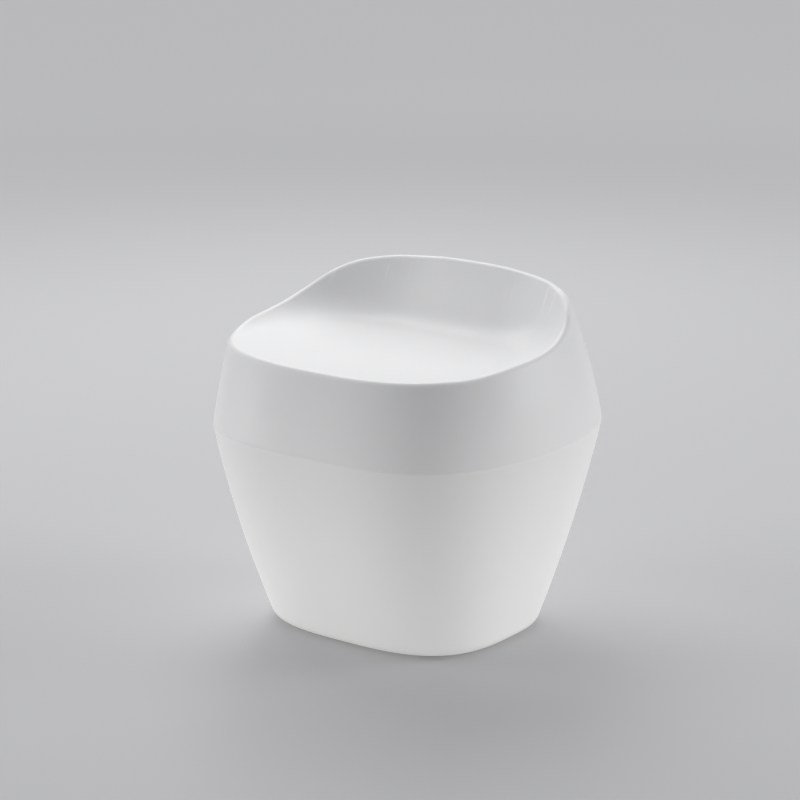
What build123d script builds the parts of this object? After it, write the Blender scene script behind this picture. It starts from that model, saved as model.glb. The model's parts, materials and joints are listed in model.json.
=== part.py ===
from build123d import *
import os
from math import atan2, cos, pi, radians, sin, sqrt, tan

os.makedirs("parts", exist_ok=True)

# Light-up stool, millimetres. The front faces -Y, the raised back lip is at +Y and the floor is z = 0.

# Shared clearances and overruns
overrun = 20.0  # how far a cutting shape runs past what it cuts
slip_gap = 0.2  # running clearance of a moving piece, per side
thread_gap = 0.1  # gap between a screw and its hole, per side
seat_gap = 0.3  # gap between soft or pushed-in pieces and their holes

# Outside of the moulded body
stand_off = 3.0  # gap under the body, made by the foot pads
base_half_width = 177.0
base_front_depth = 153.0
base_back_depth = 133.0
crease_height = 288.0
crease_half_width = 250.0
crease_half_depth = 238.5
collar_rise = 94.5  # level above the seat where the collar sizes are taken
collar_half_width = 213.9
collar_front_depth = 190.0
collar_back_depth = 156.4
lower_side_bulge = 3.8  # how far the middle of the lower wall swells past straight
lower_front_bulge = 7.7
lower_back_bulge = 6.2
upper_side_bulge = 5.8
upper_front_bulge = 1.8
upper_back_bulge = 7.9
base_powers = (3.0, 3.0)  # of the outline across and along: 2 and 2 make an ellipse, more is squarer
crease_powers = (3.5, 2.2)
collar_front_powers = (3.5, 2.1)
collar_back_powers = (2.81, 2.36)
ring_points = 40
halvings = 40  # steps in finding a point of the outline
base_round = 12.0
crease_round = 3.5  # height of the rounding on each side of the crease
rim_round = 7.0
wall = 5.0

# Dished seat: a slightly hollowed floor with a sloping wall round the sides and back
seat_height = 393.9  # at the middle of the stool
seat_fall = 1.8  # degrees that the seat leans down towards the back
seat_hollow_radius = 2750.0  # of the floor's curve from side to side
flat_back = 61.3  # where the flat of the seat ends at the back
flat_side = 181.6
flat_corner = 117.9
flat_spread = 5.7  # degrees that the sides open towards the front
back_curve = 67.4  # radius of the rise into the back
side_curve = 107.2
back_crease = 1.6  # degrees at which the rise leaves the flat
side_crease = 5.3
dish_slope = 60.0  # steepest slope, degrees from the seat
dish_points = 31  # in each section
dish_sections = 21

# Underside recess and service opening
recess_radius = 112.0
recess_depth = 30.0
recess_draft = 6.0  # degrees
recess_round = 4.0
opening_radius = 80.0
insert_count = 6
insert_circle = 89.0
insert_radius = 4.0
insert_length = 10.0
boss_wall = 4.0
boss_floor = 2.5  # plastic left above the end of an insert

# Foot pads
pad_radius = 14.0
pad_half_span_x = 114.0
pad_half_span_y = 88.0
pad_socket_depth = 2.0
pad_edge = 1.0
stem_radius = 3.6
stem_head_radius = 6.0
stem_tip_radius = 2.0
stem_head_length = 7.0

# Screws
screw_radius = 2.0
screw_head_radius = 4.0
screw_head_height = 2.6
screw_grip = 8.0  # length inside the insert
key_radius = 1.6
key_depth = 1.4

# Lamp housing, a flanged cup that closes the opening from below
gasket_thickness = 1.5
flange_radius = 98.0
flange_thickness = 3.5
cup_radius = 78.0
cup_wall = 2.5
cup_height = 68.0
cup_round = 3.0
post_count = 6
post_circle = 71.5
post_radius = 4.5
post_pilot_depth = 14.0

# Light engine on top of the cup
plate_seal_thickness = 1.0
plate_radius = 78.0
plate_thickness = 3.0
small_screw_radius = 1.5
small_head_radius = 2.8
small_head_height = 2.0
small_screw_grip = 9.0
wire_hole_radius = 5.0
led_board_radius = 46.0
led_board_thickness = 1.6
led_ring_radius = 33.0
led_count = 12
led_size = 5.0
led_height = 1.6
dome_flange_radius = 77.0
dome_flange_thickness = 2.5
dome_radius = 62.0
dome_height = 34.0
dome_wall = 2.5

# Battery pack in the cup
cell_radius = 9.2
cell_length = 65.0
cell_tip_radius = 3.0
cell_tip_length = 1.2
cell_pitch = 20.0
cell_count = 3
cell_row_y = 24.0  # middle cell, from the cup's centre
tray_wall = 2.0
tray_end_height = 15.0
tray_side_height = 8.0
saddle_x = 20.0
saddle_thickness = 3.0
link_width = 9.0
link_thickness = 0.4
strap_width = 12.0
strap_thickness = 1.0
strap_foot = 8.0
strap_bend = 3.0
strap_post_radius = 3.6
strap_post_height = 6.0

# Control board
board_length = 88.0
board_width = 34.0
board_thickness = 1.6
board_back_y = -13.0  # its rear edge, from the cup's centre
board_height = 27.0  # above the inside of the cup
board_post_inset = 4.5
board_post_radius = 3.2
tiny_screw_radius = 1.2
tiny_head_radius = 2.2
tiny_head_height = 1.4
tiny_screw_length = 7.0
chip_size = 10.0
chip_height = 1.6
coil_size = 12.0
coil_height = 6.0
can_radius = 4.0
can_height = 11.0
plug_socket_length = 10.0
plug_socket_width = 6.0
plug_socket_height = 7.0
radio_length = 18.0
radio_width = 12.0
radio_height = 2.6
chip_place_share = (-0.28, 0.0)  # places on the board, as shares of its length and width
coil_place_share = (-0.06, -0.12)
can_place_share = (0.11, 0.25)
radio_place_share = (0.3, -0.15)
cell_plug_place_share = (-0.12, 0.32)
lamp_plug_place_share = (0.33, 0.32)

# Power button
button_x = -24.0
button_y = -38.0  # from the cup's centre
bezel_radius = 10.0
bezel_thickness = 2.0
barrel_radius = 7.8
barrel_length = 20.0
cap_radius = 5.4
cap_proud = 1.6
cap_ledge = 2.2  # thickness of the lip that keeps the cap in
cap_shoulder_radius = 6.4
cap_shoulder_thickness = 1.6
cap_stem_radius = 2.0
cap_stem_length = 4.0
button_travel = 1.5
switch_pin_radius = 0.6
switch_pin_length = 5.0
switch_pin_spread = 3.0
nut_flats = 19.0
nut_thickness = 3.0
ring_seal_thickness = 1.0

# Charging jack with its hinged cover
jack_x = 24.0
jack_y = -38.0  # from the cup's centre
jack_flange_radius = 8.0
jack_flange_thickness = 2.0
jack_barrel_radius = 5.5
jack_barrel_length = 17.0
jack_bore_radius = 2.75
jack_bore_depth = 11.0
jack_pin_radius = 1.0
jack_pin_length = 8.5
jack_pin_root = 4.0
jack_nut_flats = 14.0
cover_thickness = 2.0
cover_plug_radius = 2.0
cover_plug_length = 1.8
hinge_reach = 10.5  # from the jack's centre to the hinge pin
hinge_drop = 1.6  # from the jack's face down to the hinge pin
hinge_pin_radius = 0.8
knuckle_radius = 1.7
knuckle_length = 6.0
ear_thickness = 1.6

# Levels worked out from the sizes above
collar_height = seat_height + collar_rise
slope_foot = flat_back + back_curve * tan(radians(dish_slope) / 2)  # where the slope would meet the flat
wall_top = seat_height + (collar_back_depth - slope_foot) * tan(radians(dish_slope)) + overrun
base_centre_y = (base_back_depth - base_front_depth) / 2
recess_ceiling = stand_off + recess_depth
flange_top = recess_ceiling - gasket_thickness
flange_bottom = flange_top - flange_thickness
cup_floor = flange_bottom + cup_wall
cup_top = flange_bottom + cup_height
plate_bottom = cup_top + plate_seal_thickness
plate_top = plate_bottom + plate_thickness
dome_seat = plate_top + dome_flange_thickness
cell_row = [cell_row_y + cell_pitch * (step - (cell_count - 1) / 2) for step in range(cell_count)]
cell_axis = cup_floor + tray_wall + slip_gap + cell_radius
pack_front = cell_row[0] - cell_radius - slip_gap - tray_wall
pack_back = cell_row[-1] + cell_radius + slip_gap + tray_wall
pack_end = cell_length / 2 + cell_tip_length + link_thickness + slip_gap
strap_post_offset = strap_thickness + seat_gap + strap_post_radius
board_bottom = cup_floor + board_height
board_top = board_bottom + board_thickness
bezel_top = flange_bottom - ring_seal_thickness
bezel_face = bezel_top - bezel_thickness
cap_seat = bezel_face + cap_ledge + slip_gap
cap_top = cap_seat + cap_shoulder_thickness
switch_bottom = cap_top + button_travel + seat_gap
jack_flange_top = flange_bottom - ring_seal_thickness
jack_face = jack_flange_top - jack_flange_thickness
jack_bore_end = jack_face + jack_bore_depth
hinge_y = jack_y + hinge_reach
hinge_z = jack_face - hinge_drop


def save(name, *solids):
    """Write the solids of one node, under one name."""
    shape = solids[0] if len(solids) == 1 else Compound(children=list(solids))
    export_step(shape, f"parts/{name}.step")


def disc(radius, bottom, top, x=0, y=0):
    """An upright cylinder between two levels."""
    return Pos(x, y, (bottom + top) / 2) * Cylinder(radius, top - bottom)


def ring(outer, inner, bottom, top, x=0, y=0):
    """A flat ring or tube between two levels."""
    return disc(outer, bottom, top, x, y) - disc(inner, bottom - overrun, top + overrun, x, y)


def block(x_low, x_high, y_low, y_high, z_low, z_high):
    """A box between two corners."""
    size = Box(x_high - x_low, y_high - y_low, z_high - z_low)
    return Pos((x_low + x_high) / 2, (y_low + y_high) / 2, (z_low + z_high) / 2) * size


def turned(points, x=0, y=0):
    """A piece turned about an upright axis from its half outline of (radius, height) points."""
    outline = Face(Wire.make_polygon([(radius, 0, height) for radius, height in points]))
    return Pos(x, y, 0) * revolve(outline, Axis.Z)


def around(count, radius, start=0):
    """Places spaced evenly on a circle about the lamp's axis."""
    angles = [start + 2 * pi * step / count for step in range(count)]
    return [(radius * cos(angle), base_centre_y + radius * sin(angle)) for angle in angles]


# Moulded body


def wall_sizes(height):
    """Half width, front depth and back depth of the outside at one height."""
    base = (base_half_width, base_front_depth, base_back_depth)
    crease = (crease_half_width, crease_half_depth, crease_half_depth)
    collar = (collar_half_width, collar_front_depth, collar_back_depth)
    if height <= crease_height:
        share = (height - stand_off) / (crease_height - stand_off)
        low, high = base, crease
        bulge = (lower_side_bulge, lower_front_bulge, lower_back_bulge)
    else:
        share = (height - crease_height) / (collar_height - crease_height)
        low, high = crease, collar
        bulge = (upper_side_bulge, upper_front_bulge, upper_back_bulge)
    swell = 4 * share * (1 - share)
    return [start + (end - start) * share + more * swell for start, end, more in zip(low, high, bulge)]


def wall_powers(height, at_back):
    """The two powers of the outline at one height, in its front or back half."""
    collar = collar_back_powers if at_back else collar_front_powers
    if height <= crease_height:
        share = (height - stand_off) / (crease_height - stand_off)
        low, high = base_powers, crease_powers
    else:
        share = (height - crease_height) / (collar_height - crease_height)
        low, high = crease_powers, collar
    return [start + (end - start) * share for start, end in zip(low, high)]


def outline_reach(angle, half_width, depth, powers):
    """Distance from the middle to the outline in one direction, found by halving."""
    low, high = 0, half_width + depth
    for _ in range(halvings):
        reach = (low + high) / 2
        across = abs(reach * cos(angle) / half_width) ** powers[0]
        along = abs(reach * sin(angle) / depth) ** powers[1]
        if across + along < 1:
            low = reach
        else:
            high = reach
    return low


def wall_points(height, inset):
    """Points of the outline of the outside at one height, moved inwards by the inset."""
    half_width, front, back = wall_sizes(height)
    points = []
    for step in range(ring_points):
        angle = pi + 2 * pi * step / ring_points
        at_back = sin(angle) > 0
        depth = back if at_back else front
        powers = wall_powers(height, at_back)
        reach = outline_reach(angle, half_width - inset, depth - inset, powers)
        points.append(Vector(reach * cos(angle), reach * sin(angle), height))
    return points


def ring_loft(rings):
    """A solid through closed curves, each given by its points."""
    return Solid.make_loft([Wire([Edge.make_spline(points, periodic=True)]) for points in rings])


def rounded_step(low, corner, high):
    """A loft that leaves one wall at the low ring and meets the next at the high ring."""
    middle = [(start + 2 * point + end) * 0.25 for start, point, end in zip(low, corner, high)]
    return ring_loft([low, middle, high])


def wall_solid(bottom, inset):
    """The outside as lofts: rounded foot, lower wall, rounded crease and upper wall."""
    foot_top = bottom + base_round
    crease_low = crease_height - crease_round
    crease_top = crease_height + crease_round
    foot = rounded_step(
        wall_points(bottom, inset + base_round), wall_points(bottom, inset), wall_points(foot_top, inset)
    )
    lower_levels = (foot_top, (foot_top + crease_low) / 2, crease_low)
    lower = ring_loft([wall_points(level, inset) for level in lower_levels])
    crease = rounded_step(
        wall_points(crease_low, inset), wall_points(crease_height, inset), wall_points(crease_top, inset)
    )
    upper_levels = (crease_top, (crease_top + wall_top) / 2, wall_top)
    upper = ring_loft([wall_points(level, inset) for level in upper_levels])
    return foot + lower + crease + upper


def past_flat(x, y):
    """Distance past the flat of the seat, and how far round from the back (0) to the side (1) that is."""
    spread = radians(flat_spread)
    corner_y = flat_back - flat_corner
    corner_x = (flat_side - flat_corner - corner_y * sin(spread)) / cos(spread)
    across = abs(x) - corner_x
    along = y - corner_y
    turn = min(max(atan2(along, across), spread), pi / 2)
    return across * cos(turn) + along * sin(turn) - flat_corner, (pi / 2 - turn) / (pi / 2 - spread)


def dish_level(x, y, grow):
    """Level of the dish at one place: a hollowed floor, then a rise that steepens to a straight slope."""
    past, side_share = past_flat(x, y)
    floor = seat_height - grow - y * tan(radians(seat_fall)) + x**2 / (2 * seat_hollow_radius)
    if past <= 0:
        return floor
    ease = side_share**2 * (3 - 2 * side_share)
    radius = 1 / (1 / back_curve + (1 / side_curve - 1 / back_curve) * ease) + grow
    start = radians(back_crease + (side_crease - back_crease) * ease)
    steepest = radians(dish_slope)
    reach = past + radius * sin(start)
    if reach < radius * sin(steepest):
        return floor + radius * cos(start) - sqrt(radius**2 - reach**2)
    return floor + radius * (cos(start) - cos(steepest)) + (reach - radius * sin(steepest)) * tan(steepest)


def dish(grow):
    """What the seat is scooped out with, made larger all over by grow: a loft through sections."""
    side = crease_half_width + overrun
    end = crease_half_depth + overrun
    top = dish_level(side, end, grow) + overrun
    sections = []
    for station in range(dish_sections):
        y = end * (2 * station / (dish_sections - 1) - 1)
        places = [side * (2 * step / (dish_points - 1) - 1) for step in range(dish_points)]
        points = [Vector(x, y, dish_level(x, y, grow)) for x in places]
        corners = [points[-1], Vector(side, y, top), Vector(-side, y, top), points[0]]
        lid = [Edge.make_line(start, finish) for start, finish in zip(corners, corners[1:])]
        sections.append(Wire([Edge.make_spline(points), *lid]))
    return Solid.make_loft(sections)


def recess(grow):
    """The round recess under the base, made larger all over by grow."""
    mouth = recess_radius + grow
    ceiling = mouth - (recess_depth + grow) * tan(radians(recess_draft))
    bottom = stand_off - overrun
    outline = [(0, bottom), (mouth, bottom), (mouth, stand_off)]
    outline += [(ceiling, recess_ceiling + grow), (0, recess_ceiling + grow)]
    shape = turned(outline, 0, base_centre_y)
    upper_edge = shape.edges().filter_by(GeomType.CIRCLE).sort_by(Axis.Z)[-1]
    return fillet(upper_edge, recess_round)


def pad_places():
    """Centres of the four foot pads."""
    return [
        (side * pad_half_span_x, base_centre_y + end * pad_half_span_y)
        for side in (-1, 1)
        for end in (-1, 1)
    ]


def right_half(solid):
    """The part of a solid at +X of the middle plane."""
    reach = crease_half_width + overrun
    return solid & block(0, reach, -reach, reach, 0, wall_top + overrun)


def outside_half():
    """Right half of the moulding as a filled form, with the rim of the seat rounded."""
    form = right_half(wall_solid(stand_off, 0)) - dish(0)
    seat_low = seat_height - crease_half_depth * tan(radians(seat_fall)) - overrun
    rim = [edge for edge in form.edges() if edge.bounding_box().min.Z > seat_low]
    rim = [edge for edge in rim if edge.center().X > rim_round]
    return fillet(rim, rim_round)


def hollow_form():
    """The space inside the moulding, less the bosses that stand round the opening."""
    hollow = wall_solid(stand_off + wall, wall) - dish(wall) - recess(wall)
    boss_top = recess_ceiling + insert_length + boss_floor
    for x, y in around(insert_count, insert_circle):
        hollow = hollow - disc(insert_radius + boss_wall, recess_ceiling, boss_top, x, y)
    return hollow


def body_shell():
    """The hollow one-piece moulding: seat, walls, base and the bosses round the opening."""
    inner_top = recess_ceiling + wall + overrun
    half = outside_half() - hollow_form() - recess(0)
    half = half - disc(opening_radius, stand_off, inner_top, 0, base_centre_y)
    for x, y in around(insert_count, insert_circle):
        half = half - disc(insert_radius, stand_off, recess_ceiling + insert_length, x, y)
    for x, y in pad_places():
        half = half - disc(pad_radius + seat_gap, 0, stand_off + pad_socket_depth, x, y)
        half = half - disc(stem_radius + seat_gap, 0, stand_off + wall + overrun, x, y)
    return half + mirror(half, Plane.YZ)


def shell_inserts():
    """Threaded brass sleeves moulded into the bosses."""
    top = recess_ceiling + insert_length
    bore = screw_radius + thread_gap
    places = around(insert_count, insert_circle)
    return [ring(insert_radius, bore, recess_ceiling, top, x, y) for x, y in places]


def foot_pads():
    """Rubber pads held by a barbed stem pushed through the base."""
    seat = stand_off + pad_socket_depth
    head = stand_off + wall + seat_gap
    outline = [
        (0, 0),
        (pad_radius - pad_edge, 0),
        (pad_radius, pad_edge),
        (pad_radius, seat),
        (stem_radius, seat),
        (stem_radius, head),
        (stem_head_radius, head),
        (stem_tip_radius, head + stem_head_length),
        (0, head + stem_head_length),
    ]
    return [turned(outline, x, y) for x, y in pad_places()]


# Lamp housing and its joint to the body


def screw(head_radius, head_height, radius, length, x, y, seat, way=1):
    """A flat-headed screw with its head resting on the seat level; way is 1 up, -1 down."""
    head = Pos(x, y, seat - way * head_height / 2) * Cylinder(head_radius, head_height)
    shank = Pos(x, y, seat + way * length / 2) * Cylinder(radius, length)
    return head + shank


def housing_gasket():
    """Flat ring squeezed between the housing flange and the recess ceiling."""
    gasket = ring(flange_radius, opening_radius, flange_top, recess_ceiling, 0, base_centre_y)
    for x, y in around(insert_count, insert_circle):
        gasket = gasket - disc(screw_radius + seat_gap, flange_top - overrun, recess_ceiling + overrun, x, y)
    return gasket


def board_posts():
    """Places of the four posts under the control board."""
    side = board_length / 2 - board_post_inset
    back = base_centre_y + board_back_y - board_post_inset
    front = base_centre_y + board_back_y - board_width + board_post_inset
    return [(x, y) for x in (-side, side) for y in (front, back)]


def strap_posts():
    """Places of the two posts that the battery strap is screwed to."""
    front = base_centre_y + pack_front - strap_post_offset
    back = base_centre_y + pack_back + strap_post_offset
    return [(0, front), (0, back)]


def with_post(cup, x, y, radius, top, screw_size, depth):
    """The cup with a round post on its floor, drilled from the top for a screw."""
    post = disc(radius, (flange_bottom + cup_floor) / 2, top, x, y)
    return cup + post - disc(screw_size + thread_gap, top - depth, top + overrun, x, y)


def lamp_housing():
    """Flanged cup with posts for the heat plate, the control board and the battery strap."""
    outline = [
        (0, flange_bottom),
        (flange_radius, flange_bottom),
        (flange_radius, flange_top),
        (cup_radius, flange_top),
        (cup_radius, cup_top),
        (cup_radius - cup_wall, cup_top),
        (cup_radius - cup_wall, cup_floor),
        (0, cup_floor),
    ]
    cup = turned(outline, 0, base_centre_y)
    inner_corner = cup.edges().filter_by(GeomType.CIRCLE).filter_by_position(Axis.Z, cup_floor, cup_floor)
    cup = fillet(inner_corner, cup_round)
    for x, y in around(post_count, post_circle, pi / post_count):
        cup = with_post(cup, x, y, post_radius, cup_top, small_screw_radius, post_pilot_depth)
    for x, y in board_posts():
        cup = with_post(cup, x, y, board_post_radius, board_bottom, tiny_screw_radius, tiny_screw_length)
    strap_seat = cup_floor + strap_post_height
    for x, y in strap_posts():
        cup = with_post(cup, x, y, strap_post_radius, strap_seat, small_screw_radius, strap_post_height)
    for x, y in around(insert_count, insert_circle):
        cup = cup - disc(screw_radius + seat_gap, flange_bottom - overrun, flange_top + overrun, x, y)
    button_hole = disc(barrel_radius + seat_gap, 0, cup_floor + overrun, button_x, base_centre_y + button_y)
    jack_hole = disc(jack_barrel_radius + seat_gap, 0, cup_floor + overrun, jack_x, base_centre_y + jack_y)
    return cup - button_hole - jack_hole


def housing_screws():
    """Screws through the flange into the brass inserts, with hexagon key sockets."""
    length = flange_thickness + gasket_thickness + screw_grip
    low = flange_bottom - screw_head_height
    screws = []
    for x, y in around(insert_count, insert_circle):
        blank = screw(screw_head_radius, screw_head_height, screw_radius, length, x, y, flange_bottom)
        screws.append(blank - Pos(x, y, low) * extrude(RegularPolygon(key_radius, 6), amount=key_depth))
    return screws


# Light engine


def plate_seal():
    """Soft ring between the cup's rim and the heat plate."""
    return ring(cup_radius, cup_radius - cup_wall, cup_top, plate_bottom, 0, base_centre_y)


def heat_plate():
    """Aluminium plate that closes the cup and cools the lamps."""
    plate = ring(plate_radius, wire_hole_radius, plate_bottom, plate_top, 0, base_centre_y)
    for x, y in around(post_count, post_circle, pi / post_count):
        hole = disc(small_screw_radius + seat_gap, plate_bottom - overrun, plate_top + overrun, x, y)
        plate = plate - hole
    return plate


def led_board():
    """Round circuit board bonded to the middle of the heat plate."""
    top = plate_top + led_board_thickness
    return ring(led_board_radius, wire_hole_radius, plate_top, top, 0, base_centre_y)


def led_emitters():
    """Square light sources in a ring on the board."""
    bottom = plate_top + led_board_thickness
    half = led_size / 2
    return [
        block(x - half, x + half, y - half, y + half, bottom, bottom + led_height)
        for x, y in around(led_count, led_ring_radius)
    ]


def diffuser_dome():
    """Domed cover over the lamps, with a flange for its screws."""
    sphere = (dome_radius**2 + dome_height**2) / (2 * dome_height)
    centre = plate_top + dome_height - sphere
    above = block(-sphere, sphere, -sphere, sphere, plate_top, plate_top + 2 * sphere)
    shell = Pos(0, 0, centre) * Sphere(sphere) & above
    flange = disc(dome_flange_radius, plate_top, dome_seat)
    dome = shell + flange - Pos(0, 0, centre) * Sphere(sphere - dome_wall)
    dome = Pos(0, base_centre_y, 0) * dome
    for x, y in around(post_count, post_circle, pi / post_count):
        dome = dome - disc(small_screw_radius + seat_gap, plate_top - overrun, dome_seat + overrun, x, y)
    return dome


def dome_screws():
    """Screws through the dome flange and the plate into the cup's posts."""
    length = dome_flange_thickness + plate_thickness + plate_seal_thickness + small_screw_grip
    size = (small_head_radius, small_head_height, small_screw_radius, length)
    places = around(post_count, post_circle, pi / post_count)
    return [screw(*size, x, y, dome_seat, -1) for x, y in places]


# Battery pack


def cell_places():
    """Middle of each cell."""
    return [(0, base_centre_y + y, cell_axis) for y in cell_row]


def battery_cells():
    """Round cells lying side by side, each with its raised positive end."""
    cells = []
    for place in cell_places():
        can = Cylinder(cell_radius, cell_length)
        tip = Pos(0, 0, (cell_length + cell_tip_length) / 2) * Cylinder(cell_tip_radius, cell_tip_length)
        cells.append(Pos(*place) * Rot(0, 90, 0) * (can + tip))
    return cells


def battery_tray():
    """Open tray with two rows of saddles that the cells lie in."""
    front = base_centre_y + pack_front
    back = base_centre_y + pack_back
    end = pack_end + tray_wall
    inner_floor = cup_floor + tray_wall
    side_top = cup_floor + tray_side_height
    end_top = cup_floor + tray_end_height
    tray = block(-end, end, front, back, cup_floor, end_top)
    tray = tray - block(
        -pack_end, pack_end, front + tray_wall, back - tray_wall, inner_floor, end_top + overrun
    )
    tray = tray - block(-pack_end, pack_end, front - overrun, back + overrun, side_top, end_top + overrun)
    half = saddle_thickness / 2
    for x in (-saddle_x, saddle_x):
        tray = tray + block(x - half, x + half, front, back, cup_floor, side_top)
    for place in cell_places():
        tray = tray - Pos(*place) * Rot(0, 90, 0) * Cylinder(cell_radius + slip_gap, 2 * pack_end)
    return tray


def cell_links():
    """Metal strips that join the cell ends."""
    front = base_centre_y + cell_row[0] - link_width / 2
    back = base_centre_y + cell_row[-1] + link_width / 2
    low = cell_axis - link_width / 2
    high = cell_axis + link_width / 2
    minus_end = -cell_length / 2
    plus_end = cell_length / 2 + cell_tip_length
    return [
        block(minus_end - link_thickness, minus_end, front, back, low, high),
        block(plus_end, plus_end + link_thickness, front, back, low, high),
    ]


def round_top(solid, radius):
    """Round the two upper edges of a block that run along X."""
    return fillet(solid.edges().filter_by(Axis.X).sort_by(Axis.Z)[-2:], radius)


def battery_strap():
    """Steel strap over the cells, screwed down on a post at each side."""
    front = base_centre_y + pack_front - seat_gap
    back = base_centre_y + pack_back + seat_gap
    foot = cup_floor + strap_post_height
    foot_top = foot + strap_thickness
    top = cell_axis + cell_radius + seat_gap
    half = strap_width / 2
    outer = block(-half, half, front - strap_thickness, back + strap_thickness, foot, top + strap_thickness)
    inner = block(-strap_width, strap_width, front, back, foot - overrun, top)
    strap = round_top(outer, strap_bend) - round_top(inner, strap_bend - strap_thickness)
    strap = strap + block(-half, half, front - strap_thickness - strap_foot, front, foot, foot_top)
    strap = strap + block(-half, half, back, back + strap_thickness + strap_foot, foot, foot_top)
    for x, y in strap_posts():
        strap = strap - disc(small_screw_radius + seat_gap, foot - overrun, foot + overrun, x, y)
    return strap


def strap_screws():
    """Screws that hold the strap's feet."""
    seat = cup_floor + strap_post_height + strap_thickness
    size = (small_head_radius, small_head_height, small_screw_radius, strap_post_height)
    return [screw(*size, x, y, seat, -1) for x, y in strap_posts()]


# Control board


def control_board():
    """Circuit board that charges the cells and drives the lamps."""
    back = base_centre_y + board_back_y
    board = block(-board_length / 2, board_length / 2, back - board_width, back, board_bottom, board_top)
    for x, y in board_posts():
        hole = disc(tiny_screw_radius + seat_gap, board_bottom - overrun, board_top + overrun, x, y)
        board = board - hole
    return board


def on_board(place_share):
    """A place on the board's upper side, from shares of its length and width."""
    middle = base_centre_y + board_back_y - board_width / 2
    return board_length * place_share[0], middle + board_width * place_share[1]


def component(length, width, height, place_share):
    """A block-shaped component standing on the board."""
    x, y = on_board(place_share)
    return block(x - length / 2, x + length / 2, y - width / 2, y + width / 2, board_top, board_top + height)


def board_components():
    """The larger components on the board: a chip, a coil, two cans, a radio and two plug sockets."""
    can_x, can_y = on_board(can_place_share)
    other_can_y = on_board((0, -can_place_share[1]))[1]
    return [
        component(chip_size, chip_size, chip_height, chip_place_share),
        component(coil_size, coil_size, coil_height, coil_place_share),
        disc(can_radius, board_top, board_top + can_height, can_x, can_y),
        disc(can_radius, board_top, board_top + can_height, can_x, other_can_y),
        component(radio_length, radio_width, radio_height, radio_place_share),
        component(plug_socket_length, plug_socket_width, plug_socket_height, cell_plug_place_share),
        component(plug_socket_length, plug_socket_width, plug_socket_height, lamp_plug_place_share),
    ]


def board_screws():
    """Small screws at the board's corners."""
    size = (tiny_head_radius, tiny_head_height, tiny_screw_radius, tiny_screw_length)
    return [screw(*size, x, y, board_top, -1) for x, y in board_posts()]


# Power button


def button_bezel():
    """Threaded metal body of the button, with a lip that keeps the cap in."""
    outline = [
        (cap_radius + slip_gap, bezel_face),
        (bezel_radius, bezel_face),
        (bezel_radius, bezel_top),
        (barrel_radius, bezel_top),
        (barrel_radius, bezel_top + barrel_length),
        (cap_shoulder_radius + slip_gap, bezel_top + barrel_length),
        (cap_shoulder_radius + slip_gap, bezel_face + cap_ledge),
        (cap_radius + slip_gap, bezel_face + cap_ledge),
    ]
    return turned(outline, button_x, base_centre_y + button_y)


def power_button():
    """Cap that is pressed upwards, with its shoulder and the stem that works the switch."""
    outline = [
        (0, bezel_face - cap_proud),
        (cap_radius, bezel_face - cap_proud),
        (cap_radius, cap_seat),
        (cap_shoulder_radius, cap_seat),
        (cap_shoulder_radius, cap_top),
        (cap_stem_radius, cap_top),
        (cap_stem_radius, cap_top + cap_stem_length),
        (0, cap_top + cap_stem_length),
    ]
    return turned(outline, button_x, base_centre_y + button_y)


def button_switch():
    """Sealed switch in the top of the barrel, with two solder pins."""
    x, y = button_x, base_centre_y + button_y
    top = bezel_top + barrel_length
    bore_top = cap_top + cap_stem_length + button_travel + seat_gap
    body = disc(cap_shoulder_radius + slip_gap, switch_bottom, top, x, y)
    body = body - disc(cap_stem_radius + slip_gap, switch_bottom - overrun, bore_top, x, y)
    for side in (-switch_pin_spread, switch_pin_spread):
        body = body + disc(switch_pin_radius, top, top + switch_pin_length, x + side, y)
    return body


def hexagon_nut(flats, bore, bottom, x, y):
    """A six-sided nut lying on a level."""
    blank = extrude(RegularPolygon(flats / 2, 6, major_radius=False), amount=nut_thickness)
    return Pos(x, y, bottom) * blank - disc(bore, bottom - overrun, bottom + overrun, x, y)


def button_nut():
    """Nut that clamps the button to the cup's floor."""
    bore = barrel_radius + thread_gap
    return hexagon_nut(nut_flats, bore, cup_floor, button_x, base_centre_y + button_y)


def button_seal():
    """Rubber ring between the bezel and the housing."""
    inner = barrel_radius + seat_gap
    return ring(bezel_radius, inner, bezel_top, flange_bottom, button_x, base_centre_y + button_y)


# Charging jack


def charge_jack():
    """Socket body with a threaded barrel, and two ears that carry the cover's pin."""
    x, y = jack_x, base_centre_y + jack_y
    barrel_end = jack_flange_top + jack_barrel_length
    jack = disc(jack_flange_radius, jack_face, jack_flange_top, x, y)
    jack = jack + disc(jack_barrel_radius, jack_flange_top, barrel_end, x, y)
    pin_y = base_centre_y + hinge_y
    near = pin_y - knuckle_radius
    far = pin_y + knuckle_radius
    root = y + jack_barrel_radius
    for side in (-1, 1):
        inner = x + side * (knuckle_length / 2 + slip_gap)
        outer = inner + side * ear_thickness
        low, high = sorted((inner, outer))
        jack = jack + block(low, high, root, far, jack_face, jack_flange_top)
        jack = jack + block(low, high, near, far, hinge_z - knuckle_radius, jack_flange_top)
    jack = jack - disc(jack_bore_radius, jack_face - overrun, jack_bore_end, x, y)
    jack = jack - disc(jack_pin_radius, jack_face, jack_bore_end + jack_pin_root, x, y)
    pin_hole = Cylinder(hinge_pin_radius, knuckle_length + 4 * ear_thickness)
    return jack - Pos(x, pin_y, hinge_z) * Rot(0, 90, 0) * pin_hole


def jack_contact():
    """Centre contact pin of the socket."""
    low = jack_bore_end - jack_pin_length
    return disc(jack_pin_radius, low, jack_bore_end + jack_pin_root, jack_x, base_centre_y + jack_y)


def jack_nut():
    """Nut that clamps the socket to the cup's floor."""
    bore = jack_barrel_radius + thread_gap
    return hexagon_nut(jack_nut_flats, bore, cup_floor, jack_x, base_centre_y + jack_y)


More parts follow.
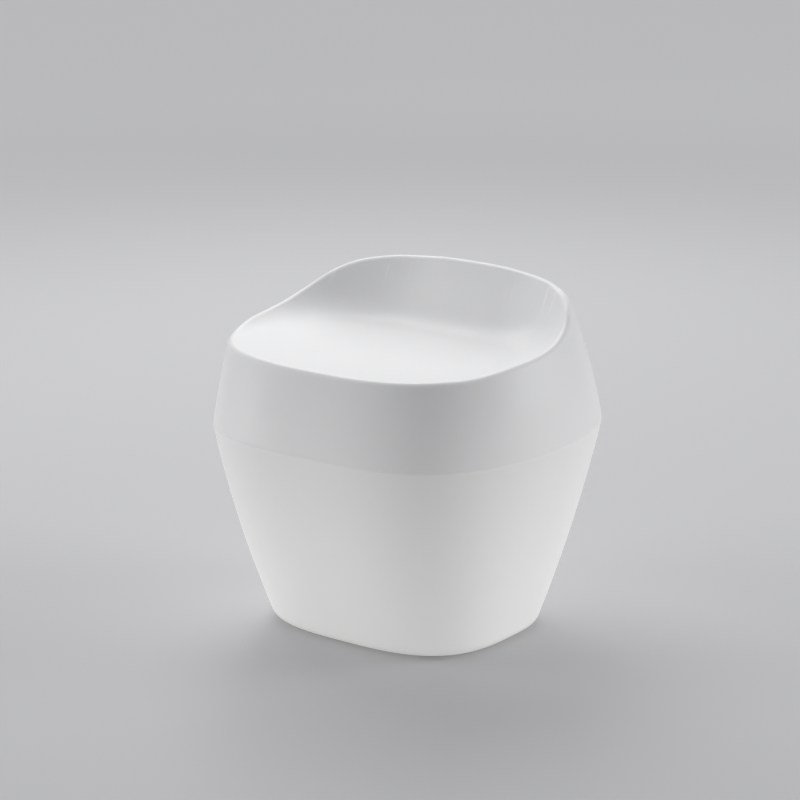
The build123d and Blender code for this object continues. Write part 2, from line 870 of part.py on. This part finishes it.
def jack_seal():
    """Rubber ring between the socket's flange and the housing."""
    inner = jack_barrel_radius + seat_gap
    return ring(jack_flange_radius, inner, jack_flange_top, flange_bottom, jack_x, base_centre_y + jack_y)


def hinge_pin():
    """Steel pin fixed in the socket's ears."""
    length = knuckle_length + 2 * slip_gap + 2 * ear_thickness
    pin = Rot(0, 90, 0) * Cylinder(hinge_pin_radius, length)
    return Pos(jack_x, base_centre_y + hinge_y, hinge_z) * pin


def jack_cover():
    """Hinged cover with a short plug that enters the socket's bore."""
    x, y = jack_x, base_centre_y + jack_y
    top = jack_face - slip_gap
    bottom = top - cover_thickness
    pin_y = base_centre_y + hinge_y
    half = knuckle_length / 2
    cover = disc(jack_flange_radius, bottom, top, x, y)
    cover = cover + disc(cover_plug_radius, bottom, top + cover_plug_length, x, y)
    cover = cover + block(x - half, x + half, y, pin_y, bottom, top)
    cover = cover + Pos(x, pin_y, hinge_z) * Rot(0, 90, 0) * Cylinder(knuckle_radius, knuckle_length)
    bore = Cylinder(hinge_pin_radius + slip_gap, knuckle_length + overrun)
    return cover - Pos(x, pin_y, hinge_z) * Rot(0, 90, 0) * bore


save("body_shell", body_shell())
save("shell_inserts", *shell_inserts())
save("foot_pads", *foot_pads())
save("housing_gasket", housing_gasket())
save("lamp_housing", lamp_housing())
save("housing_screws", *housing_screws())
save("plate_seal", plate_seal())
save("heat_plate", heat_plate())
save("led_board", led_board())
save("led_emitters", *led_emitters())
save("diffuser_dome", diffuser_dome())
save("dome_screws", *dome_screws())
save("battery_tray", battery_tray())
save("battery_cells", *battery_cells())
save("cell_links", *cell_links())
save("battery_strap", battery_strap())
save("strap_screws", *strap_screws())
save("control_board", control_board())
save("board_components", *board_components())
save("board_screws", *board_screws())
save("button_bezel", button_bezel())
save("button_seal", button_seal())
save("button_nut", button_nut())
save("button_switch", button_switch())
save("power_button", power_button())
save("charge_jack", charge_jack())
save("jack_contact", jack_contact())
save("jack_seal", jack_seal())
save("jack_nut", jack_nut())
save("jack_hinge_pin", hinge_pin())
save("jack_cover", jack_cover())
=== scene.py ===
import json
from functools import partial
from math import cos, radians, sin

import bpy
from mathutils import Matrix, Vector


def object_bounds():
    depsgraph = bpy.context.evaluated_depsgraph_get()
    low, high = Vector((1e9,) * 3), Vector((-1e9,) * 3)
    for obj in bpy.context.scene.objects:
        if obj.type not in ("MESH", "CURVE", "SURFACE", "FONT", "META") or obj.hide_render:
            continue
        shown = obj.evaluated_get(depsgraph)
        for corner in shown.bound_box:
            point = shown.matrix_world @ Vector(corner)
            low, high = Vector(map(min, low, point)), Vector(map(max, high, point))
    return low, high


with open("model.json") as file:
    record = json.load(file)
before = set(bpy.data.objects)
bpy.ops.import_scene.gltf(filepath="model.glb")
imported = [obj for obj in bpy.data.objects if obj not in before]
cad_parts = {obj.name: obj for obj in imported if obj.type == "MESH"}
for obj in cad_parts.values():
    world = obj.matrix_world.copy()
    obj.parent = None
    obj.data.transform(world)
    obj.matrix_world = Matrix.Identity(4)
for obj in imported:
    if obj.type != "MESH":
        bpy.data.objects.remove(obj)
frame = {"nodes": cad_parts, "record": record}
cad_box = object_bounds()

# Camera, solved from the photograph's outline of the stool
view_azimuth = 36.5
view_elevation = 15.62
view_distance = 4.145
view_target_height = 0.233
view_shift_right = -0.0116
view_shift_up = 0.0784
sensor_width = 36.0
lens_length = 134.4

# Lamps and surroundings
lamp_distance = 2.6
floor_half_size = 40.0
floor_tone = (0.60, 0.60, 0.61)
floor_roughness = 0.45
floor_gloss = 0.25
floor_lit_reach = 0.5  # metres from the stool's middle; past it the floor is lifted, so that it stays pale
floor_dark_reach = 4.5  # where the lift is full
floor_near_lift = 0.0
floor_far_lift = 0.4
world_tone = (0.80, 0.81, 0.83)
world_strength = 0.46

# Levels of the stool, metres above the floor
foot_level = 0.003
shell_dust_top = 0.025
crease_level = 0.288
back_streak_low = 0.432
back_streak_high = 0.474
stool_top = cad_box[1][2]

# Moulded body
shell_tone = (0.90, 0.90, 0.895)
shell_dust_tone = (0.70, 0.68, 0.64)
shell_mark_tone = (1.0, 1.0, 1.0)
# Painted glow: light painted onto the shell as emission, brightest at the foot, with painted shade above the
# crease
painted_glow_tone = (1.0, 0.985, 0.95)
painted_glow_strength = 0.21
crease_painted_shade_share = 0.23  # of the painted glow, taken off above the crease as painted shade
crease_shade_blur = 0.0015

# Span that most of a noise pattern lies in
noise_low = 0.3
noise_high = 0.7


# Camera and light


def around(azimuth, elevation, distance, centre):
    """A place at a compass direction and height angle from a centre; 0 is in front, 90 to the right."""
    flat = cos(radians(elevation)) * distance
    across = sin(radians(azimuth)) * flat
    along = -cos(radians(azimuth)) * flat
    return Vector(centre) + Vector((across, along, sin(radians(elevation)) * distance))


def make_camera():
    """The camera, set where the photograph was taken from."""
    right = Vector((cos(radians(view_azimuth)), sin(radians(view_azimuth)), 0))
    back = around(view_azimuth, view_elevation, 1, (0, 0, 0))
    up = back.cross(right)
    target = Vector((0, 0, view_target_height)) + right * view_shift_right + up * view_shift_up
    data = bpy.data.cameras.new("camera")
    data.sensor_width = sensor_width
    data.lens = lens_length
    data.clip_end = 2 * floor_half_size
    camera = bpy.data.objects.new("camera", data)
    bpy.context.scene.collection.objects.link(camera)
    camera.location = target + back * view_distance
    camera.rotation_euler = Matrix((right, up, back)).transposed().to_euler()
    bpy.context.scene.camera = camera


def soft_light(name, azimuth, elevation, width, height, power):
    """A rectangular lamp aimed at the stool."""
    data = bpy.data.lights.new(name, "AREA")
    data.shape = "RECTANGLE"
    data.size = width
    data.size_y = height
    data.energy = power
    lamp = bpy.data.objects.new(name, data)
    bpy.context.scene.collection.objects.link(lamp)
    centre = Vector((0, 0, view_target_height))
    lamp.location = around(azimuth, elevation, lamp_distance, centre)
    lamp.rotation_euler = (centre - lamp.location).to_track_quat("-Z", "Y").to_euler()


def make_lights():
    """Two lamps behind the stool, one to each side of the camera's view, and an even grey world."""
    soft_light("light_above", azimuth=238, elevation=52, width=1.8, height=1.8, power=21.4)
    soft_light("light_rear", azimuth=212, elevation=38, width=1.8, height=1.8, power=12.4)
    soft_light("light_left", azimuth=view_azimuth - 90, elevation=18, width=1.2, height=2.0, power=16.8)
    soft_light("light_right", azimuth=view_azimuth + 90, elevation=18, width=1.2, height=2.0, power=21)
    world = bpy.data.worlds.new("studio")
    world.use_nodes = True
    background = world.node_tree.nodes["Background"]
    background.inputs["Color"].default_value = (*world_tone, 1)
    background.inputs["Strength"].default_value = world_strength
    bpy.context.scene.world = world


# Building blocks of the materials


def feed(tree, value, socket):
    """Feed a socket from another node's output, or set it to a plain value."""
    if isinstance(value, bpy.types.NodeSocket):
        tree.links.new(value, socket)
    else:
        socket.default_value = value


def reckon(tree, operation, *values):
    """The result of one Math node."""
    node = tree.nodes.new("ShaderNodeMath")
    node.operation = operation
    for value, socket in zip(values, node.inputs):
        feed(tree, value, socket)
    return node.outputs[0]


def ranged(tree, value, start, end, low=0.0, high=1.0):
    """A value taken smoothly from one range to another."""
    node = tree.nodes.new("ShaderNodeMapRange")
    node.interpolation_type = "SMOOTHSTEP"
    feed(tree, value, node.inputs["Value"])
    feed(tree, start, node.inputs["From Min"])
    feed(tree, end, node.inputs["From Max"])
    feed(tree, low, node.inputs["To Min"])
    feed(tree, high, node.inputs["To Max"])
    return node.outputs["Result"]


def blend_tones(tree, share, first, second):
    """One colour mixed into another."""
    node = tree.nodes.new("ShaderNodeMix")
    node.data_type = "RGBA"
    feed(tree, share, node.inputs["Factor"])
    feed(tree, first, node.inputs["A"])
    feed(tree, second, node.inputs["B"])
    return node.outputs["Result"]


def spot_on_piece(tree):
    """The point that is being coloured, then how far across, along and up it is."""
    place = tree.nodes.new("ShaderNodeTexCoord")
    split = tree.nodes.new("ShaderNodeSeparateXYZ")
    tree.links.new(place.outputs["Object"], split.inputs[0])
    return place.outputs["Object"], split.outputs["X"], split.outputs["Y"], split.outputs["Z"]


def cloudy(tree, spot, scale, detail=3, roughness=0.55):
    """A cloudy noise pattern."""
    pattern = tree.nodes.new("ShaderNodeTexNoise")
    pattern.inputs["Detail"].default_value = detail
    pattern.inputs["Roughness"].default_value = roughness
    tree.links.new(spot, pattern.inputs["Vector"])
    feed(tree, scale, pattern.inputs["Scale"])
    return pattern.outputs["Fac"]


def stretched(tree, spot, stretch):
    """Points drawn out along the axes, so that a pattern runs in lines."""
    node = tree.nodes.new("ShaderNodeVectorMath")
    node.operation = "MULTIPLY"
    tree.links.new(spot, node.inputs[0])
    feed(tree, stretch, node.inputs[1])
    return node.outputs[0]


def new_effect(name, inputs, output):
    """An empty shared effect: its node group, its inputs by name and the socket of its output."""
    group = bpy.data.node_groups.new(name, "ShaderNodeTree")
    for label, kind, value in inputs:
        socket = group.interface.new_socket(label, in_out="INPUT", socket_type="NodeSocket" + kind)
        socket.default_value = value
    group.interface.new_socket(output[0], in_out="OUTPUT", socket_type="NodeSocket" + output[1])
    start = group.nodes.new("NodeGroupInput")
    end = group.nodes.new("NodeGroupOutput")
    return group, start.outputs, end.inputs[0]


def use(tree, effect, **values):
    """A shared effect placed in a material with its own values."""
    node = tree.nodes.new("ShaderNodeGroup")
    node.node_tree = effect
    for label, value in values.items():
        feed(tree, value, node.inputs[label])
    return node.outputs[0]


# Shared surface effects


def tone_drift():
    """Colour that drifts a little darker and lighter over the surface."""
    inputs = [("Colour", "Color", (0.8, 0.8, 0.8, 1)), ("Drift", "Float", 0.05), ("Scale", "Float", 8.0)]
    tree, start, end = new_effect("tone_drift", inputs, ("Colour", "Color"))
    spot = spot_on_piece(tree)[0]
    centred = reckon(tree, "SUBTRACT", cloudy(tree, spot, start["Scale"]), 0.5)
    amount = reckon(tree, "MULTIPLY_ADD", centred, start["Drift"], 1.0)
    tint = tree.nodes.new("ShaderNodeVectorMath")
    tint.operation = "SCALE"
    tree.links.new(start["Colour"], tint.inputs[0])
    tree.links.new(amount, tint.inputs["Scale"])
    tree.links.new(tint.outputs[0], end)
    return tree


def polish_patches():
    """Roughness that varies between two values in patches."""
    inputs = [("Low", "Float", 0.35), ("High", "Float", 0.5), ("Scale", "Float", 30.0)]
    tree, start, end = new_effect("polish_patches", inputs, ("Roughness", "Float"))
    spot = spot_on_piece(tree)[0]
    pattern = cloudy(tree, spot, start["Scale"], detail=4, roughness=0.6)
    tree.links.new(ranged(tree, pattern, noise_low, noise_high, start["Low"], start["High"]), end)
    return tree


def moulded_grain():
    """Height of a fine grain over a slower ripple, as a mould leaves it."""
    inputs = [("Grain", "Float", 1500.0), ("Ripple", "Float", 60.0), ("Share", "Float", 0.5)]
    tree, start, end = new_effect("moulded_grain", inputs, ("Height", "Float"))
    spot = spot_on_piece(tree)[0]
    grain = cloudy(tree, spot, start["Grain"], detail=2, roughness=0.5)
    ripple = cloudy(tree, spot, start["Ripple"], detail=1, roughness=0.4)
    tree.links.new(reckon(tree, "MULTIPLY_ADD", ripple, start["Share"], grain), end)
    return tree


def tool_lines():
    """Height of fine parallel lines, as brushing, turning or milling leaves them."""
    inputs = [("Scale", "Float", 400.0), ("Stretch", "Vector", (1.0, 0.03, 1.0))]
    tree, start, end = new_effect("tool_lines", inputs, ("Height", "Float"))
    spot = spot_on_piece(tree)[0]
    drawn_out = stretched(tree, spot, start["Stretch"])
    tree.links.new(cloudy(tree, drawn_out, start["Scale"], detail=3, roughness=0.6), end)
    return tree


def fine_scratches():
    """Mask of a few thin hairlines that run one way, in patches."""
    bare_level = 0.72  # of the noise, above which lines show when the amount is 0
    edge = 0.03
    patch_scale = 14.0
    patch_low, patch_high = 0.45, 0.65
    inputs = [("Scale", "Float", 120.0), ("Stretch", "Vector", (1.0, 0.05, 1.0)), ("Amount", "Float", 0.1)]
    tree, start, end = new_effect("fine_scratches", inputs, ("Mask", "Float"))
    spot = spot_on_piece(tree)[0]
    drawn_out = stretched(tree, spot, start["Stretch"])
    lines = cloudy(tree, drawn_out, start["Scale"], detail=4, roughness=0.7)
    patches = cloudy(tree, spot, patch_scale, detail=2, roughness=0.5)
    places = ranged(tree, patches, patch_low, patch_high)
    level = reckon(tree, "SUBTRACT", bare_level, start["Amount"])
    thin = ranged(tree, lines, level, reckon(tree, "ADD", level, edge))
    tree.links.new(reckon(tree, "MULTIPLY", thin, places), end)
    return tree


def specks():
    """Mask of small scattered marks."""
    inputs = [("Scale", "Float", 300.0), ("Size", "Float", 0.2), ("Amount", "Float", 0.3)]
    tree, start, end = new_effect("specks", inputs, ("Mask", "Float"))
    spot = spot_on_piece(tree)[0]
    cells = tree.nodes.new("ShaderNodeTexVoronoi")
    tree.links.new(spot, cells.inputs["Vector"])
    tree.links.new(start["Scale"], cells.inputs["Scale"])
    dots = ranged(tree, cells.outputs["Distance"], start["Size"], 0.0)
    kept = reckon(tree, "LESS_THAN", cells.outputs["Color"], start["Amount"])
    tree.links.new(reckon(tree, "MULTIPLY", dots, kept), end)
    return tree


def level_band():
    """Mask of a band round the piece at one height, soft at its edges."""
    inputs = [("Level", "Float", 0.1), ("Reach", "Float", 0.002), ("Softness", "Float", 0.001)]
    tree, start, end = new_effect("level_band", inputs, ("Mask", "Float"))
    height = spot_on_piece(tree)[3]
    away = reckon(tree, "ABSOLUTE", reckon(tree, "SUBTRACT", height, start["Level"]))
    edge = reckon(tree, "ADD", start["Reach"], start["Softness"])
    tree.links.new(ranged(tree, away, edge, start["Reach"]), end)
    return tree


def settled_dust():
    """Mask of dust that gathers low on a piece and thins out upwards in patches."""
    patch_low = 0.35
    inputs = [
        ("Low", "Float", 0.0),
        ("High", "Float", 0.03),
        ("Scale", "Float", 60.0),
        ("Amount", "Float", 0.5),
    ]
    tree, start, end = new_effect("settled_dust", inputs, ("Mask", "Float"))
    spot, _, _, height = spot_on_piece(tree)
    fade = ranged(tree, height, start["High"], start["Low"])
    clouds = cloudy(tree, spot, start["Scale"], detail=5, roughness=0.65)
    patches = reckon(tree, "MULTIPLY", fade, ranged(tree, clouds, patch_low, noise_high))
    tree.links.new(reckon(tree, "MULTIPLY", patches, start["Amount"]), end)
    return tree


def make_effects():
    """Each shared effect, made once, by its name."""
    made = [
        tone_drift,
        polish_patches,
        moulded_grain,
        tool_lines,
        fine_scratches,
        specks,
        level_band,
        settled_dust,
    ]
    return {effect.__name__: effect() for effect in made}


# Finishes


class Finish:
    """A material while it is made: what feeds its colour, its roughness and its relief."""

    def __init__(self, name, tone, effects, drift, drift_scale, polish, patches):
        self.material = bpy.data.materials.new(name)
        self.material.use_nodes = True
        self.tree = self.material.node_tree
        self.shader = self.tree.nodes["Principled BSDF"]
        self.effects = effects
        self.colour = self.effect("tone_drift", Colour=(*tone, 1), Drift=drift, Scale=drift_scale)
        self.rough = self.effect("polish_patches", Low=polish[0], High=polish[1], Scale=patches)
        self.height = None

    def effect(self, name, **values):
        """A shared effect, placed in this material."""
        return use(self.tree, self.effects[name], **values)

    def set(self, **values):
        """Plain values of the shader's own sockets."""
        for label, value in values.items():
            self.shader.inputs[label.replace("_", " ")].default_value = value

    def grain(self, grain, ripple, share):
        """The grain and ripple of a moulding."""
        self.raise_by(self.effect("moulded_grain", Grain=grain, Ripple=ripple, Share=share), 1.0)

    def lines(self, scale, stretch):
        """The lines of brushing, turning or milling, also in the polish."""
        polish_change = 0.12
        lines = self.effect("tool_lines", Scale=scale, Stretch=stretch)
        self.raise_by(lines, 1.0)
        self.rough = reckon(self.tree, "MULTIPLY_ADD", lines, polish_change, self.rough)

    def marks(self, mask, tone, share, roughness=0.0, height=0.0):
        """Marks laid over the colour, the polish and the relief where a mask is white."""
        amount = reckon(self.tree, "MULTIPLY", mask, share)
        self.colour = blend_tones(self.tree, amount, self.colour, (*tone, 1))
        if roughness:
            self.rough = reckon(self.tree, "MULTIPLY_ADD", mask, roughness, self.rough)
        if height:
            self.raise_by(mask, height)

    def specks(self, tone, scale, size, amount, share, roughness, height=0.0):
        """Small scattered marks."""
        mask = self.effect("specks", Scale=scale, Size=size, Amount=amount)
        self.marks(mask, tone, share, roughness, height)

    def dust(self, low, high, tone, amount, scale):
        """Dust between two levels, thickest at the lower one."""
        mask = self.effect("settled_dust", Low=low, High=high, Scale=scale, Amount=amount)
        self.marks(mask, tone, share=1.0, roughness=0.25)

    def raise_by(self, height, share):
        """Add to the relief."""
        lift = reckon(self.tree, "MULTIPLY", height, share)
        self.height = lift if self.height is None else reckon(self.tree, "ADD", self.height, lift)

    def done(self, relief, strength):
        """Join what was gathered to the shader; relief is the depth in metres of a height of 1."""
        bump = self.tree.nodes.new("ShaderNodeBump")
        bump.inputs["Distance"].default_value = relief
        bump.inputs["Strength"].default_value = strength
        self.tree.links.new(self.height, bump.inputs["Height"])
        self.tree.links.new(bump.outputs[0], self.shader.inputs["Normal"])
        self.tree.links.new(self.colour, self.shader.inputs["Base Color"])
        self.tree.links.new(self.rough, self.shader.inputs["Roughness"])
        return self.material


def crease_flecks(look):
    """Light flecks in short runs where flash was trimmed at the crease."""
    tree = look.tree
    run_scale = 9.0
    run_low, run_high = 0.48, 0.62
    near_crease = look.effect("level_band", Level=crease_level, Reach=0.003, Softness=0.006)
    flecks = look.effect("specks", Scale=240.0, Size=0.5, Amount=0.42)
    clouds = cloudy(tree, spot_on_piece(tree)[0], run_scale, detail=2, roughness=0.5)
    runs = ranged(tree, clouds, run_low, run_high)
    flecks = reckon(tree, "MULTIPLY", reckon(tree, "MULTIPLY", flecks, near_crease), runs)
    look.marks(flecks, shell_mark_tone, share=1.0, roughness=0.1, height=0.6)


def back_streaks(look):
    """Faint upright streaks in a band near the top of the back."""
    tree = look.tree
    thin_low, thin_high = 0.70, 0.76
    low_fade = 0.02
    high_fade = 0.01
    _, across, _, height = spot_on_piece(tree)
    streaks = tree.nodes.new("ShaderNodeTexNoise")
    streaks.noise_dimensions = "1D"
    streaks.inputs["Scale"].default_value = 95.0
    streaks.inputs["Detail"].default_value = 1.0
    tree.links.new(across, streaks.inputs["W"])
    thin = ranged(tree, streaks.outputs["Fac"], thin_low, thin_high)
    low = ranged(tree, height, back_streak_low, back_streak_low + low_fade)
    high = ranged(tree, height, back_streak_high, back_streak_high - high_fade)
    thin = reckon(tree, "MULTIPLY", thin, reckon(tree, "MULTIPLY", low, high))
    look.marks(thin, shell_mark_tone, share=0.7, roughness=0.08)


def painted_glow(look):
    """Painted light: a glow painted onto the shell as emission, strongest at the foot, with a painted shade
    step down above the crease.
    """
    tree = look.tree
    height = spot_on_piece(tree)[3]
    fade = ranged(tree, height, stool_top, 0.0)
    # Painted shade: the painted glow steps down above the crease
    below = ranged(tree, height, crease_level + crease_shade_blur, crease_level - crease_shade_blur)
    fade = reckon(tree, "MULTIPLY", fade, 1 - crease_painted_shade_share)
    share = reckon(tree, "MULTIPLY_ADD", below, crease_painted_shade_share, fade)
    # Painted glow colour, fed to the shell's emission
    painted_light = blend_tones(tree, share, (0.0, 0.0, 0.0, 1), (*painted_glow_tone, 1))
    tree.links.new(painted_light, look.shader.inputs["Emission Color"])
    look.set(Emission_Strength=painted_glow_strength)


def shell_finish(effects):
    """White polyethylene with a thin line and flecks at the crease, faint streaks and a painted glow that
    steps down to painted shade above the crease.
    """
    look = Finish(
        "shell_white",
        shell_tone,
        effects,
        drift=0.02,
        drift_scale=5.0,
        polish=(0.36, 0.46),
        patches=18.0,
    )
    look.grain(grain=900.0, ripple=70.0, share=0.6)
    crease_line = look.effect("level_band", Level=crease_level, Reach=0.0002, Softness=0.0004)
    look.marks(crease_line, shell_tone, share=0.0, roughness=0.1, height=-1.5)
    crease_flecks(look)
    back_streaks(look)
    scratches = look.effect("fine_scratches", Scale=70.0, Amount=0.05)
    look.marks(scratches, shell_tone, share=0.0, roughness=0.08, height=-0.2)
    look.dust(foot_level, shell_dust_top, shell_dust_tone, amount=0.22, scale=60.0)
    look.set(Subsurface_Weight=0.3, Subsurface_Radius=(1.0, 0.95, 0.85), Subsurface_Scale=0.012)
    # Painted glow on the shell, with painted shade above the crease
    painted_glow(look)
    return look.done(relief=0.00004, strength=0.25)


def board_finish(effects, name, tone, track_tone):
    """A circuit board: solder mask over tracks, with small tinned spots."""
    tin_tone = (0.75, 0.74, 0.70)
    look = Finish(name, tone, effects, drift=0.08, drift_scale=60.0, polish=(0.25, 0.38), patches=40.0)
    tracks = look.tree.nodes.new("ShaderNodeTexBrick")
    tracks.inputs["Scale"].default_value = 110.0
    tracks.inputs["Mortar Size"].default_value = 0.035
    tracks.inputs["Mortar Smooth"].default_value = 0.2
    look.tree.links.new(spot_on_piece(look.tree)[0], tracks.inputs["Vector"])
    look.grain(grain=1800.0, ripple=200.0, share=0.3)
    look.marks(tracks.outputs["Fac"], track_tone, share=0.6, roughness=0.05, height=1.0)
    look.specks(tin_tone, scale=260.0, size=0.22, amount=0.25, share=0.9, roughness=-0.1, height=0.6)
    return look.done(relief=0.00012, strength=0.6)


def metal_finish(effects, name, tone, scale, stretch, polish=(0.2, 0.36)):
    """A bare metal with tool lines, handling marks and dull spots."""
    look = Finish(name, tone, effects, drift=0.25, drift_scale=90.0, polish=polish, patches=160.0)
    look.lines(scale, stretch)
    scratches = look.effect("fine_scratches", Scale=260.0, Stretch=(0.05, 1.0, 1.0), Amount=0.16)
    look.marks(scratches, [part * 0.5 for part in tone], share=0.4, roughness=0.15, height=-0.5)
    dull = [part * 0.4 for part in tone]
    look.specks(dull, scale=700.0, size=0.4, amount=0.3, share=0.6, roughness=0.25)
    look.set(Metallic=1.0)
    return look.done(relief=0.00012, strength=0.5)


def moulded_finish(effects, name, tone, polish, grain, dust_high=0.0):
    """A moulded plastic or rubber with grain, scratches and rubbed flecks, and dust up to dust_high."""
    worn_grey = 0.35
    worn_share = 0.3
    floor_dust_tone = (0.55, 0.53, 0.50)
    look = Finish(name, tone, effects, drift=0.16, drift_scale=45.0, polish=polish, patches=70.0)
    look.grain(grain, ripple=220.0, share=0.8)
    rubbed = [part + (worn_grey - part) * worn_share for part in tone]
    look.specks(rubbed, scale=650.0, size=0.45, amount=0.26, share=0.5, roughness=0.12, height=0.4)
    scratches = look.effect("fine_scratches", Scale=180.0, Stretch=(0.06, 1.0, 1.0), Amount=0.14)
    look.marks(scratches, rubbed, share=0.6, roughness=0.1, height=-0.4)
    if dust_high:
        look.dust(0.0, dust_high, floor_dust_tone, amount=0.45, scale=140.0)
    return look.done(relief=0.00012, strength=0.5)


def make_finishes():
    """One material for each slot of the record."""
    effects = make_effects()
    turned = (0.02, 0.02, 1.0)
    brushed = (1.0, 0.03, 1.0)
    moulded = partial(moulded_finish, effects)
    metal = partial(metal_finish, effects)
    board = partial(board_finish, effects)
    return {
        "shell_plastic": shell_finish(effects),
        "housing_plastic": moulded("housing_white", (0.82, 0.82, 0.81), (0.38, 0.52), 1300.0),
        "pad_rubber": moulded("pad_rubber", (0.06, 0.06, 0.062), (0.7, 0.85), 700.0, dust_high=0.004),
        "seal_rubber": moulded("seal_rubber", (0.03, 0.03, 0.032), (0.62, 0.8), 900.0),
        "brass": metal("turned_brass", (0.70, 0.50, 0.22), 900.0, turned, (0.22, 0.4)),
        "screw_steel": metal("screw_steel", (0.55, 0.55, 0.57), 1100.0, turned),
        "button_steel": metal("button_steel", (0.60, 0.60, 0.62), 700.0, brushed),
        "plate_aluminium": metal("milled_plate", (0.70, 0.70, 0.72), 260.0, brushed, (0.28, 0.45)),
        "white_board": board("lamp_board", (0.85, 0.85, 0.83), (0.72, 0.73, 0.72)),
        "green_board": board("control_board", (0.03, 0.20, 0.09), (0.06, 0.34, 0.15)),
        "component_resin": moulded("component_resin", (0.03, 0.03, 0.033), (0.4, 0.55), 2200.0),
        "lamp_resin": moulded("lamp_resin", (0.90, 0.84, 0.45), (0.15, 0.28), 2600.0),
        "dome_plastic": moulded("opal_dome", (0.88, 0.89, 0.90), (0.3, 0.42), 1600.0),
        "cell_sleeve": moulded("cell_sleeve", (0.03, 0.10, 0.36), (0.2, 0.32), 1000.0),
        "nickel_strip": metal("nickel_strip", (0.62, 0.60, 0.56), 800.0, brushed, (0.25, 0.4)),
        "black_plastic": moulded("black_plastic", (0.025, 0.025, 0.027), (0.45, 0.6), 1700.0),
        "cap_plastic": moulded("cap_grey", (0.12, 0.125, 0.13), (0.45, 0.6), 1200.0),
    }


# Floor


def floor_finish():
    """Pale and slightly polished, and kept pale to the eye where the lamps no longer reach it."""
    material = bpy.data.materials.new("floor_pale")
    material.use_nodes = True
    tree = material.node_tree
    shader = tree.nodes["Principled BSDF"]
    shader.inputs["Base Color"].default_value = (*floor_tone, 1)
    shader.inputs["Roughness"].default_value = floor_roughness
    shader.inputs["Specular IOR Level"].default_value = floor_gloss
    shader.inputs["Emission Color"].default_value = (*floor_tone, 1)
    distance = tree.nodes.new("ShaderNodeVectorMath")
    distance.operation = "LENGTH"
    tree.links.new(spot_on_piece(tree)[0], distance.inputs[0])
    ray = tree.nodes.new("ShaderNodeLightPath")
    seen = reckon(tree, "MAXIMUM", ray.outputs["Is Camera Ray"], ray.outputs["Is Glossy Ray"])
    seen = reckon(tree, "MAXIMUM", seen, ray.outputs["Is Transmission Ray"])
    away = distance.outputs["Value"]
    lift = ranged(tree, away, floor_lit_reach, floor_dark_reach, floor_near_lift, floor_far_lift)
    tree.links.new(reckon(tree, "MULTIPLY", seen, lift), shader.inputs["Emission Strength"])
    return material


def make_floor():
    """A wide pale floor that meets the background far behind the stool."""
    mesh = bpy.data.meshes.new("floor")
    reach = floor_half_size
    corners = [(-reach, -reach, 0), (reach, -reach, 0), (reach, reach, 0), (-reach, reach, 0)]
    mesh.from_pydata(corners, [], [(0, 1, 2, 3)])
    floor = bpy.data.objects.new("floor", mesh)
    bpy.context.scene.collection.objects.link(floor)
    mesh.materials.append(floor_finish())


# Dressing and hand-over


def dress_nodes(finishes):
    """Give every node of the frame the finish of its slot."""
    slots = {row["node"]: row["material_slot"] for row in frame["record"]["subparts"]}
    for name, node in frame["nodes"].items():
        node.data.materials.clear()
        node.data.materials.append(finishes[slots[name]])


make_camera()
make_lights()
make_floor()
dress_nodes(make_finishes())
bpy.context.scene.view_settings.view_transform = "Standard"
